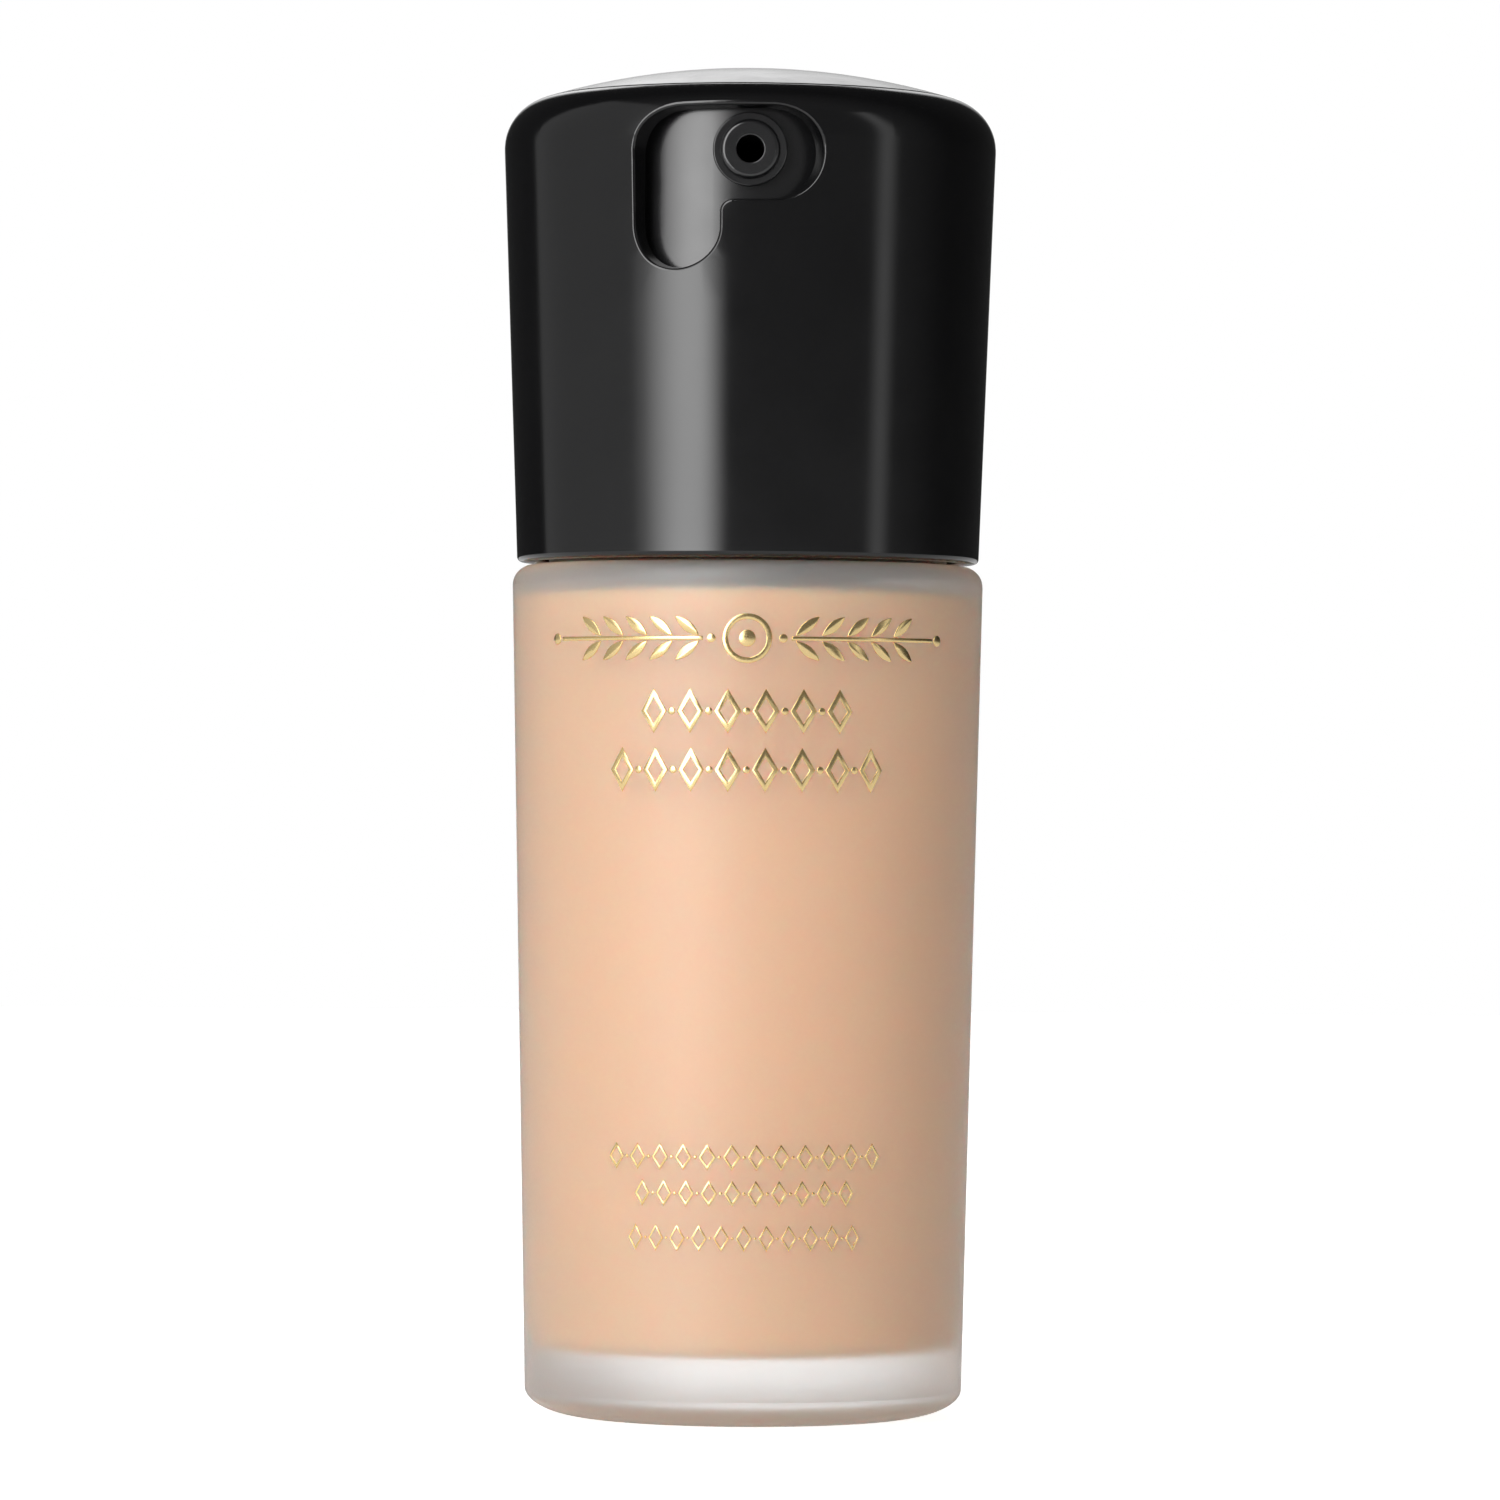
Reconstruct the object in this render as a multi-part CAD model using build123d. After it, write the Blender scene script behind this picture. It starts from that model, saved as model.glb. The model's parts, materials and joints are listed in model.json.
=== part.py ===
from build123d import *
import os
from math import hypot, radians, sqrt, tan

# Foundation bottle: a tapered frosted glass bottle with a press-fitted pump under a black pump head.
# The head's outer shell turns about the bottle to lock or free the press button inside it.
# Millimetres, +Z up. The origin is the centre of the base, and the nozzle faces -Y.

# ---- driving dimensions ----

# glass bottle
GLASS_FOOT_R = 15.99  # radius of the tapered wall, carried down to the base plane
GLASS_TAPER = 0.0208  # how much the wall's radius grows per millimetre of height
GLASS_WALL = 2.95
GLASS_BASE = 5.0
SHOULDER_Z = 62.35
SHOULDER_ROUND = 1.5
HEEL_RADIAL, HEEL_UP = 4.8, 2.05  # the heel is a quarter of an ellipse
PUNT_R, PUNT_DEPTH = 8.8, 0.7
CAVITY_TOP_Z, CAVITY_TOP_SLOPE = 60.7, 0.5
CAVITY_TOP_ROUND, CAVITY_FOOT_ROUND = 0.9, 1.3
NECK_R, NECK_BORE_R, NECK_TOP_Z = 8.3, 6.0, 73.0
BEAD_R, BEAD_Z, BEAD_SLOPE = 9.3, 70.5, 0.35
FILL_TOP_Z = 60.6
FILL_GAP = 0.02

# outer shell of the head
SHELL_FOOT_Z = 62.55
SHELL_FOOT_R = 16.935
SHELL_TAPER = 0.0365
SHELL_TOP_ROUND = 3.8
SHELL_LIP_R = 15.32
SHELL_BORE_R = 16.5  # around the window
SHELL_LOW_BORE_R = 15.55  # around the retaining ring
SHELL_LIP_DEPTH = 1.5

# press button
APEX_Z = 98.74
DOME_R = 52.4
BUTTON_R = 15.15
BUTTON_WALL = 1.55
BUTTON_FOOT_Z = 77.5
BUTTON_EDGE_ROUND = 0.28
TRAVEL = 5.5

# key-shaped window in the shell, as angles from the front and heights on the outer surface
WINDOW_LEFT, WINDOW_LEG_RIGHT, WINDOW_RIGHT = 28.2, 7.0, 17.3
WINDOW_TOP_Z, WINDOW_SHELF_Z, WINDOW_FOOT_Z = 94.8, 88.0, 82.96
WINDOW_CORNER = 3.1
WINDOW_END_STRETCH, WINDOW_CORNER_STRETCH = 1.08, 1.25  # width over height of the rounded ends
WINDOW_INNER_CORNER = 0.85
WINDOW_DRAFT = 8.0
WINDOW_TRUE_DEPTH = 17.4  # distance from the axis at which the window has its stated size
WINDOW_RIM_ROUND = 0.2

# nozzle
NOZZLE_Z = 91.7
BOSS_R, BOSS_FACE = 2.68, 15.8
INSERT_R, INSERT_FACE, INSERT_ROUND = 2.14, 16.15, 0.34
INSERT_TAIL_R, INSERT_TAIL, INSERT_STEP = 1.68, 10.3, 13.5  # the tail's radius, start and end
ORIFICE_R = 0.985
DUCT_R = 1.2

# twist stops, in degrees about +Z from the pose with the nozzle in the window's short arm
TWIST_MIN, TWIST_MAX = -6.0, 17.4
STOP_HALF = 4.0  # half the angle of the ring's stop lug

# guide sleeve and the retaining ring that turns in its groove
SLEEVE_R, SLEEVE_BORE_R, SLEEVE_FLANGE_R = 12.9, 11.05, 14.6
SLEEVE_FOOT_Z, SLEEVE_TOP_Z = 62.45, 82.0
GROOVE_LOW_Z, GROOVE_TOP_Z = 64.4, 66.5
RING_GAP = 0.3
RING_Z, SNAP_HALF = 65.45, 0.5  # middle and half the height of the shell's groove for the ring
RIB_WIDTH, RIB_GAP = 2.0, 0.2

# pump
FIT = 0.03  # gap of a push fit, on the radius
COLLAR_R, COLLAR_FOOT_Z, COLLAR_TOP_Z = 11.0, 62.8, 76.2
FINGERS = 8
GASKET_TOP_Z = 73.8
FLANGE_TOP_Z = 75.0
CHAMBER_R, HOUSING_R = 4.3, 5.4
CHAMBER_FLOOR_Z, HOUSING_FOOT_Z = 56.4, 55.6
SPIGOT_R, SPIGOT_TOP_Z, SPIGOT_FOOT_Z = 2.9, 52.0, 45.5  # the housing's narrow end, around the dip tube
SEAT_Z, SEAT_HOLE_R, SEAT_CONE = 52.2, 1.0, 1.2
BALL_R = 1.5
DIP_R, DIP_BORE_R, DIP_FOOT_Z, DIP_TOP_Z = 1.9, 1.3, 6.6, 51.2
STEM_R, STEM_TOP_Z = 3.0, 90.9
CORE_R, CORE_FOOT_Z, CORE_TOP_Z = 4.7, 84.9, 96.5
TURRET_FOOT_Z, TURRET_TOP_Z = 73.0, 79.0
WIPER_R, WIPER_TOP_Z = 3.97, 74.0
ROD_R, ROD_TOP_Z = 1.93, 77.8
PISTON_FOOT_Z, PISTON_TOP_Z = 67.4, 71.0
SPRING_R, SPRING_WIRE, SPRING_TURNS = 2.9, 0.5, 7
SPRING_FOOT_Z, SPRING_TOP_Z = 57.2, 66.6


# ---- helpers ----


def turned(*corners, start=0, sweep=360):
    """Solid turned about Z from closed outline corners: (radius, height) or (radius, height, rounding)."""
    points = [corner[:2] for corner in corners]
    rounds = [corner[2] if len(corner) > 2 else 0 for corner in corners]
    outline = make_face(FilletPolyline(*points, radius=rounds, close=True).edges())
    return Rot(0, 0, start) * revolve(Plane.XZ * outline, Axis.Z, revolution_arc=sweep)


def turned_edges(*curves):
    """Solid turned about Z from curves that close an outline in radius and height."""
    edges = [edge for curve in curves for edge in curve.edges()]
    return revolve(Plane.XZ * make_face(edges), Axis.Z)


def tube(outer, bore, low, high, rounding=0):
    """Plain tube about Z. The rounding is on its outer edges."""
    return turned((bore, low), (outer, low, rounding), (outer, high, rounding), (bore, high))


def rod(radius, low, high, rounding=0):
    """Plain rod about Z."""
    return turned((0, low), (radius, low, rounding), (radius, high, rounding), (0, high))


def bar(radial_in, radial_out, width, low, high):
    """Block that runs outwards along +X."""
    middle = Pos((radial_in + radial_out) / 2, 0, (low + high) / 2)
    return middle * Box(radial_out - radial_in, width, high - low)


def around(shape, count, start=0):
    """Copies of a shape, evenly spaced about Z."""
    return [Rot(0, 0, start + 360 * i / count) * shape for i in range(count)]


def along_nozzle(shape):
    """Turns a shape built along +Z from the origin so that it runs along the nozzle's axis, towards -Y."""
    return Plane(origin=(0, 0, NOZZLE_Z), x_dir=(1, 0, 0), z_dir=(0, -1, 0)) * shape


def glass_radius(z):
    return GLASS_FOOT_R + GLASS_TAPER * z


def shell_radius(z):
    return SHELL_FOOT_R + SHELL_TAPER * (z - SHELL_FOOT_Z)


def dome_height(radius, inset=0):
    """Height of the dome's surface at a radius, or of the one that lies inset below it."""
    return APEX_Z - DOME_R + sqrt((DOME_R - inset) ** 2 - radius**2)


def window_outline(depth):
    """Key outline of the window in a plane at a depth in front of the axis; its sides are radial."""
    inset = (WINDOW_TRUE_DEPTH - depth) * tan(radians(WINDOW_DRAFT))
    left = -depth * tan(radians(WINDOW_LEFT)) + inset
    leg_right = -depth * tan(radians(WINDOW_LEG_RIGHT)) - inset
    right = depth * tan(radians(WINDOW_RIGHT)) - inset
    top, shelf, foot = WINDOW_TOP_Z - inset, WINDOW_SHELF_Z + inset, WINDOW_FOOT_Z + inset
    middle = (top + shelf) / 2
    leg_middle, leg_half = (left + leg_right) / 2, (leg_right - left) / 2
    end_high = top - middle
    end_wide = end_high * WINDOW_END_STRETCH
    corner_wide, corner_high = WINDOW_CORNER * WINDOW_CORNER_STRETCH, WINDOW_CORNER
    inner = WINDOW_INNER_CORNER
    foot_high = WINDOW_CORNER
    edges = [
        Line((left + corner_wide, top), (right - end_wide, top)),
        EllipticalCenterArc((right - end_wide, middle), end_wide, end_high, 0, arc_size=90),
        EllipticalCenterArc((right - end_wide, middle), end_wide, end_high, 270, arc_size=90),
        Line((right - end_wide, shelf), (leg_right + inner, shelf)),
        CenterArc((leg_right + inner, shelf - inner), inner, 90, 90),
        Line((leg_right, shelf - inner), (leg_right, foot + foot_high)),
        EllipticalCenterArc((leg_middle, foot + foot_high), leg_half, foot_high, 270, arc_size=90),
        EllipticalCenterArc((leg_middle, foot + foot_high), leg_half, foot_high, 180, arc_size=90),
        Line((left, foot + foot_high), (left, top - corner_high)),
        EllipticalCenterArc(
            (left + corner_wide, top - corner_high), corner_wide, corner_high, 90, arc_size=90
        ),
    ]
    return Plane.XZ.offset(depth) * make_face([edge.edge() for edge in edges])


def on_window_rim(edge):
    """Whether an edge of the shell is one where the window's wall meets the shell's outside."""
    middle = edge @ 0.5
    outside = abs(hypot(middle.X, middle.Y) - shell_radius(middle.Z)) < 0.02
    return outside and middle.Y < 0 and WINDOW_FOOT_Z - 0.5 < middle.Z < WINDOW_TOP_Z + 0.5


# ---- bottle and its contents ----


def glass_bottle():
    heel_r = glass_radius(HEEL_UP)
    foot_r = heel_r - HEEL_RADIAL
    # Halfway out, a shallow dome still has three quarters of its height.
    punt = ThreePointArc((0, PUNT_DEPTH), (PUNT_R / 2, PUNT_DEPTH * 0.75), (PUNT_R, 0))
    foot = Line((PUNT_R, 0), (foot_r, 0))
    heel = EllipticalCenterArc((foot_r, HEEL_UP), HEEL_RADIAL, HEEL_UP, 270, arc_size=90)
    walls = FilletPolyline(
        (heel_r, HEEL_UP),
        (glass_radius(SHOULDER_Z), SHOULDER_Z),
        (NECK_R, SHOULDER_Z),
        (NECK_R, BEAD_Z),
        (BEAD_R, BEAD_Z + BEAD_SLOPE),
        (BEAD_R, NECK_TOP_Z),
        (NECK_BORE_R, NECK_TOP_Z),
        (NECK_BORE_R, CAVITY_TOP_Z + CAVITY_TOP_SLOPE),
        (glass_radius(CAVITY_TOP_Z) - GLASS_WALL, CAVITY_TOP_Z),
        (glass_radius(GLASS_BASE) - GLASS_WALL, GLASS_BASE),
        (0, GLASS_BASE),
        radius=[SHOULDER_ROUND, 1.2, 0.3, 0.2, 0.6, 0.4, 0.8, CAVITY_TOP_ROUND, CAVITY_FOOT_ROUND],
    )
    return turned_edges(punt, foot, heel, walls, Line((0, GLASS_BASE), (0, PUNT_DEPTH)))


def foundation_fill():
    """Liquid in the bottle, around the pump's housing and dip tube."""
    low = GLASS_BASE + FILL_GAP
    wall = GLASS_WALL + FILL_GAP
    clear = 0.1
    liquid = turned(
        (0, low),
        (glass_radius(low) - wall, low, CAVITY_FOOT_ROUND),
        (glass_radius(FILL_TOP_Z) - wall, FILL_TOP_Z, CAVITY_TOP_ROUND),
        (0, FILL_TOP_Z),
    )
    pump = housing_envelope(clear) + rod(DIP_R + clear, DIP_FOOT_Z - clear, DIP_TOP_Z)
    return liquid - pump


def neck_gasket():
    return tube(BEAD_R - 0.15, NECK_BORE_R + 0.1, NECK_TOP_Z, GASKET_TOP_Z, 0.15)


# ---- pump body ----


def housing_envelope(clear):
    """Outside of the housing below its flange, grown by a clearance."""
    return turned(
        (0, SPIGOT_FOOT_Z - clear),
        (SPIGOT_R + clear, SPIGOT_FOOT_Z - clear),
        (SPIGOT_R + clear, SPIGOT_TOP_Z - clear),
        (HOUSING_R + clear, HOUSING_FOOT_Z - clear),
        (HOUSING_R + clear, GASKET_TOP_Z),
        (0, GASKET_TOP_Z),
    )


def pump_housing():
    """Dosing chamber with a flange on the gasket, a conical seat for the ball and a socket for the tube."""
    flange = rod(BEAD_R - 0.1, GASKET_TOP_Z, FLANGE_TOP_Z, 0.2)
    bore = turned(
        (0, SPIGOT_FOOT_Z),
        (DIP_R + FIT, SPIGOT_FOOT_Z),
        (DIP_R + FIT, DIP_TOP_Z + 0.1),
        (SEAT_HOLE_R, DIP_TOP_Z + 0.1),
        (SEAT_HOLE_R, SEAT_Z),
        (SEAT_HOLE_R + SEAT_CONE, SEAT_Z + SEAT_CONE),
        (SEAT_HOLE_R + SEAT_CONE, CHAMBER_FLOOR_Z),
        (CHAMBER_R, CHAMBER_FLOOR_Z),
        (CHAMBER_R, FLANGE_TOP_Z),
        (0, FLANGE_TOP_Z),
    )
    vent_r, vent_z = 0.4, GASKET_TOP_Z - 2.2
    vent = Pos(HOUSING_R, 0, vent_z) * Rot(0, 90, 0) * Cylinder(vent_r, HOUSING_R - 1.4)
    return housing_envelope(0) + flange - bore - vent


def dip_tube():
    """Suction tube, notched at its foot so that it can't seal against the base."""
    pipe = tube(DIP_R, DIP_BORE_R, DIP_FOOT_Z, DIP_TOP_Z)
    notch_side = 1.7
    notch = Pos(0, 0, DIP_FOOT_Z) * Rot(0, 45, 0) * Box(notch_side, 3 * DIP_R, notch_side)
    return pipe - notch


def turret_cap():
    """Closes the chamber and guides the stem. A recess in its spigot holds the wiper."""
    bore, spigot_r = STEM_R + 0.1, CHAMBER_R - 0.05
    recess_r, recess_z = WIPER_R + FIT, WIPER_TOP_Z + 0.1
    flange_r, turret_r = 6.2, 4.5
    return turned(
        (recess_r, TURRET_FOOT_Z),
        (spigot_r, TURRET_FOOT_Z),
        (spigot_r, FLANGE_TOP_Z),
        (flange_r, FLANGE_TOP_Z, 0.2),
        (flange_r, COLLAR_TOP_Z, 0.3),
        (turret_r, COLLAR_TOP_Z, 0.5),
        (turret_r, TURRET_TOP_Z, 0.4),
        (bore, TURRET_TOP_Z, 0.2),
        (bore, recess_z),
        (recess_r, recess_z),
    )


def stem_wiper():
    return tube(WIPER_R, STEM_R + 0.04, TURRET_FOOT_Z + 0.05, WIPER_TOP_Z, 0.15)


def snap_collar():
    """Slotted collar whose fingers hook under the glass bead and clamp the housing on the gasket."""
    skirt_bore, hook_bore, top_bore = BEAD_R + 0.3, NECK_R + 0.25, 6.4
    hook_z = BEAD_Z - 0.15
    slot_width = 1.2
    ring = turned(
        (skirt_bore, COLLAR_FOOT_Z, 0.3),
        (COLLAR_R, COLLAR_FOOT_Z, 0.3),
        (COLLAR_R, COLLAR_TOP_Z, 0.4),
        (top_bore, COLLAR_TOP_Z),
        (top_bore, FLANGE_TOP_Z),
        (skirt_bore, FLANGE_TOP_Z),
        (skirt_bore, hook_z),
        (hook_bore, hook_z),
        (hook_bore, hook_z - 0.45),
        (skirt_bore, hook_z - 1.75),
    )
    slot = bar(NECK_R, COLLAR_R + 1, slot_width, COLLAR_FOOT_Z - 1, BEAD_Z + 1.5)
    return ring - around(slot, FINGERS, start=180 / FINGERS)


def guide_sleeve():
    """Locks the collar's fingers, guides the button and carries the shell in its groove."""
    lip_r, lip_z, lip_top_z = 9.2, COLLAR_TOP_Z + 0.1, COLLAR_TOP_Z + 1.3
    top_bore = SLEEVE_BORE_R + 0.2
    lug_r, lug_root_r, lug_sweep = 14.3, SLEEVE_R - 0.4, 50
    body = turned(
        (SLEEVE_BORE_R, SLEEVE_FOOT_Z),
        (SLEEVE_FLANGE_R, SLEEVE_FOOT_Z, 0.2),
        (SLEEVE_FLANGE_R, GROOVE_LOW_Z, 0.2),
        (SLEEVE_R, GROOVE_LOW_Z),
        (SLEEVE_R, SLEEVE_TOP_Z, 0.4),
        (top_bore, SLEEVE_TOP_Z, 0.4),
        (top_bore, lip_top_z),
        (lip_r, lip_top_z, 0.3),
        (lip_r, lip_z),
        (SLEEVE_BORE_R, lip_z),
    )
    lug = turned(
        (lug_root_r, GROOVE_TOP_Z),
        (lug_r, GROOVE_TOP_Z, 0.15),
        (lug_r, GROOVE_TOP_Z + 0.5, 0.15),
        (lug_root_r, GROOVE_TOP_Z + 1.3),
        start=-lug_sweep / 2,
        sweep=lug_sweep,
    )
    slot_foot_z = BUTTON_FOOT_Z - TRAVEL - 0.4
    slot_width = RIB_WIDTH + 2 * RIB_GAP
    rib_slot = bar(SLEEVE_BORE_R + 0.1, SLEEVE_R + 2, slot_width, slot_foot_z, SLEEVE_TOP_Z + 1)
    play = 0.8  # degrees past each stop
    stop_low = 90 - STOP_HALF + TWIST_MIN - play
    stop_sweep = TWIST_MAX - TWIST_MIN + 2 * (STOP_HALF + play)
    stop_slot = turned(
        (SLEEVE_R - 1.0, GROOVE_LOW_Z),
        (SLEEVE_R + 1.0, GROOVE_LOW_Z),
        (SLEEVE_R + 1.0, GROOVE_TOP_Z),
        (SLEEVE_R - 1.0, GROOVE_TOP_Z),
        start=stop_low,
        sweep=stop_sweep,
    )
    return body + around(lug, 4, start=45) - around(rib_slot, 2) - stop_slot


def spring_seat():
    """Cage over the ball: a flange on the chamber's floor, a cross over the ball, a pilot for the spring."""
    bore = 1.75
    flange = tube(CHAMBER_R - 0.05, bore, CHAMBER_FLOOR_Z, SPRING_FOOT_Z)
    pilot = tube(2.35, bore, CHAMBER_FLOOR_Z, SPRING_FOOT_Z + 1.1, 0.15)
    arm_width, arm_height = 0.8, 0.9
    arm = Pos(0, 0, CHAMBER_FLOOR_Z + 0.25) * Box(2 * bore + 0.3, arm_width, arm_height)
    return flange + pilot + arm + Rot(0, 0, 90) * arm


def return_spring():
    wire_r = SPRING_WIRE / 2
    gap = 0.02
    low, high = SPRING_FOOT_Z + wire_r + gap, SPRING_TOP_Z - wire_r - gap
    path = Pos(0, 0, low) * Helix(pitch=(high - low) / SPRING_TURNS, height=high - low, radius=SPRING_R)
    section = Plane(origin=path @ 0, z_dir=path % 0) * Circle(wire_r)
    return sweep(section, path=path, is_frenet=True)


def check_ball():
    """Steel ball that rests on the conical seat."""
    cone_gap = 0.03
    centre_z = SEAT_Z - SEAT_HOLE_R + (BALL_R + cone_gap) * sqrt(2)
    return Pos(0, 0, centre_z) * Sphere(BALL_R)


# ---- parts that travel with the button ----


def piston_rod():
    """Hollow rod with a foot that lifts off the piston's hub to let the dose in through two side holes."""
    pilot_r, pilot_z = 2.2, SPRING_TOP_Z - 1.0
    foot_r, foot_top_z = 3.3, SPRING_TOP_Z + 0.6
    side_r, side_z = 0.5, SPRING_TOP_Z + 1.3
    duct_r, duct_z = 0.95, SPRING_TOP_Z + 0.8
    body = turned(
        (0, pilot_z),
        (pilot_r, pilot_z, 0.3),
        (pilot_r, SPRING_TOP_Z),
        (foot_r, SPRING_TOP_Z, 0.15),
        (foot_r, foot_top_z, 0.15),
        (ROD_R, foot_top_z),
        (ROD_R, ROD_TOP_Z, 0.2),
        (0, ROD_TOP_Z),
    )
    side_hole = Pos(0, 0, side_z) * Rot(0, 90, 0) * Cylinder(side_r, 2 * ROD_R + 1)
    return body - rod(duct_r, duct_z, ROD_TOP_Z + 1) - side_hole


def piston():
    """Double-lipped seal that slides in the chamber."""
    middle_z = (PISTON_FOOT_Z + PISTON_TOP_Z) / 2
    hub_r, web_half = 2.65, 0.4
    root_r, waist_r, waist_half = 3.75, CHAMBER_R - 0.12, 0.6
    lip_r, lip_bore = CHAMBER_R - FIT, 3.95
    hub = tube(hub_r, ROD_R + FIT, PISTON_FOOT_Z, PISTON_TOP_Z + 0.1, 0.15)
    web = tube(root_r + 0.2, hub_r - 0.2, middle_z - web_half, middle_z + web_half)
    lips = turned(
        (root_r, middle_z - web_half + 0.1),
        (lip_bore, PISTON_FOOT_Z, 0.08),
        (lip_r, PISTON_FOOT_Z, 0.08),
        (waist_r, middle_z - waist_half, 0.3),
        (waist_r, middle_z + waist_half, 0.3),
        (lip_r, PISTON_TOP_Z, 0.08),
        (lip_bore, PISTON_TOP_Z, 0.08),
        (root_r, middle_z + web_half - 0.1),
    )
    return hub + web + lips


def upper_stem():
    """Stem that stands out of the turret into the button, held by its flange."""
    flange_r, flange_foot_z, flange_top_z = 3.95, PISTON_TOP_Z + 0.2, TURRET_FOOT_Z - 0.1
    duct_r = 1.3
    return turned(
        (ROD_R + FIT, flange_foot_z),
        (flange_r, flange_foot_z, 0.2),
        (flange_r, flange_top_z, 0.2),
        (STEM_R, flange_top_z),
        (STEM_R, STEM_TOP_Z, 0.35),
        (duct_r, STEM_TOP_Z),
        (duct_r, ROD_TOP_Z + 0.2),
        (ROD_R + FIT, ROD_TOP_Z + 0.2),
    )


def actuator_core():
    """Inner actuator: socket for the stem, and the duct that turns forwards to the nozzle."""
    arm_r, arm_reach = 2.6, 13.2
    web_reach, web_width, web_foot_z, web_top_z = 10.5, 1.1, 91.4, 94.1
    post = rod(CORE_R, CORE_FOOT_Z, CORE_TOP_Z, 0.3)
    arm = along_nozzle(rod(arm_r, 0, arm_reach))
    webs = around(bar(CORE_R - 0.5, web_reach, web_width, web_foot_z, web_top_z), 3)
    socket = rod(STEM_R + FIT, CORE_FOOT_Z, STEM_TOP_Z + 0.1)
    duct = rod(DUCT_R, STEM_TOP_Z, NOZZLE_Z) + along_nozzle(rod(DUCT_R, 0, arm_reach + 1))
    counterbore = along_nozzle(rod(INSERT_TAIL_R + 0.04, INSERT_TAIL - 0.3, arm_reach + 1))
    return post + arm + webs - socket - duct - Pos(0, 0, NOZZLE_Z) * Sphere(DUCT_R) - counterbore


def press_button():
    """Domed button with a deep skirt, the nozzle's boss, and two ribs that run in the sleeve's slots."""
    seam_z = dome_height(BUTTON_R)
    inner_r = BUTTON_R - BUTTON_WALL
    inner_z = dome_height(inner_r, BUTTON_WALL)
    inner_mid = dome_height(inner_r / 2, BUTTON_WALL)
    dome = ThreePointArc((0, APEX_Z), (BUTTON_R / 2, dome_height(BUTTON_R / 2)), (BUTTON_R, seam_z))
    skirt = FilletPolyline(
        (BUTTON_R, seam_z),
        (BUTTON_R, BUTTON_FOOT_Z),
        (inner_r, BUTTON_FOOT_Z),
        (inner_r, inner_z),
        radius=[0.3, 0.3],
    )
    roof = ThreePointArc((inner_r, inner_z), (inner_r / 2, inner_mid), (0, APEX_Z - BUTTON_WALL))
    shell = turned_edges(dome, skirt, roof, Line((0, APEX_Z - BUTTON_WALL), (0, APEX_Z)))
    circles = shell.edges().filter_by(GeomType.CIRCLE)
    seam = circles.sort_by(lambda edge: abs(edge.radius - BUTTON_R) + abs(edge.center().Z - seam_z))[0]
    shell = fillet(seam, BUTTON_EDGE_ROUND)
    boss_root = inner_r + 0.4
    boss = turned((0, boss_root), (BOSS_R, boss_root), (BOSS_R, BOSS_FACE, 0.12), (0, BOSS_FACE))
    rib = bar(SLEEVE_BORE_R + 0.35, inner_r + 0.5, RIB_WIDTH, BUTTON_FOOT_Z, inner_z + 0.6)
    ring = tube(CORE_R + 1.1, CORE_R + 0.05, CORE_TOP_Z - 2.1, APEX_Z - BUTTON_WALL - 0.1)
    insert_bore = along_nozzle(rod(INSERT_R + 0.02, INSERT_TAIL, INSERT_FACE + 1))
    return shell + along_nozzle(boss) + around(rib, 2) + ring - insert_bore


def nozzle_insert():
    """Pushed in through the boss; its tail seals in the actuator's duct."""
    return along_nozzle(
        turned(
            (ORIFICE_R, INSERT_TAIL),
            (INSERT_TAIL_R, INSERT_TAIL),
            (INSERT_TAIL_R, INSERT_STEP),
            (INSERT_R, INSERT_STEP),
            (INSERT_R, INSERT_FACE, INSERT_ROUND),
            (ORIFICE_R, INSERT_FACE, 0.1),
        )
    )


# ---- shell that turns about the bottle ----


def outer_shell():
    seam_z = dome_height(SHELL_LIP_R)
    slope = SHELL_LIP_R / sqrt(DOME_R**2 - SHELL_LIP_R**2)
    # The rounded shoulder is tangent to the wall and to the dome's own slope at the seam.
    level = SHELL_FOOT_R + SHELL_TAPER * (seam_z + slope * SHELL_LIP_R - SHELL_FOOT_Z)
    corner_r = level / (1 + SHELL_TAPER * slope)
    corner_z = seam_z - slope * (corner_r - SHELL_LIP_R)
    lip_z = seam_z - SHELL_LIP_DEPTH
    bore, bore_foot_z = SHELL_BORE_R, 79.8
    low_bore, low_bore_top_z = SHELL_LOW_BORE_R, 68.0
    groove = low_bore + 0.25
    body = turned(
        (low_bore, SHELL_FOOT_Z, 0.2),
        (SHELL_FOOT_R, SHELL_FOOT_Z, 0.4),
        (corner_r, corner_z, SHELL_TOP_ROUND),
        (SHELL_LIP_R, seam_z, 0.1),
        (SHELL_LIP_R, lip_z),
        (bore, lip_z - slope * (bore - SHELL_LIP_R), 1.4),
        (bore, bore_foot_z + 0.8),
        (bore - 0.4, bore_foot_z),
        (low_bore, low_bore_top_z),
        (low_bore, RING_Z + SNAP_HALF),
        (groove, RING_Z + SNAP_HALF),
        (groove, RING_Z - SNAP_HALF),
        (low_bore, RING_Z - SNAP_HALF),
    )
    body -= loft([window_outline(corner_r + 1), window_outline(bore - 2.5)], ruled=True)
    return fillet(body.edges().filter_by(on_window_rim), WINDOW_RIM_ROUND)


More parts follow.
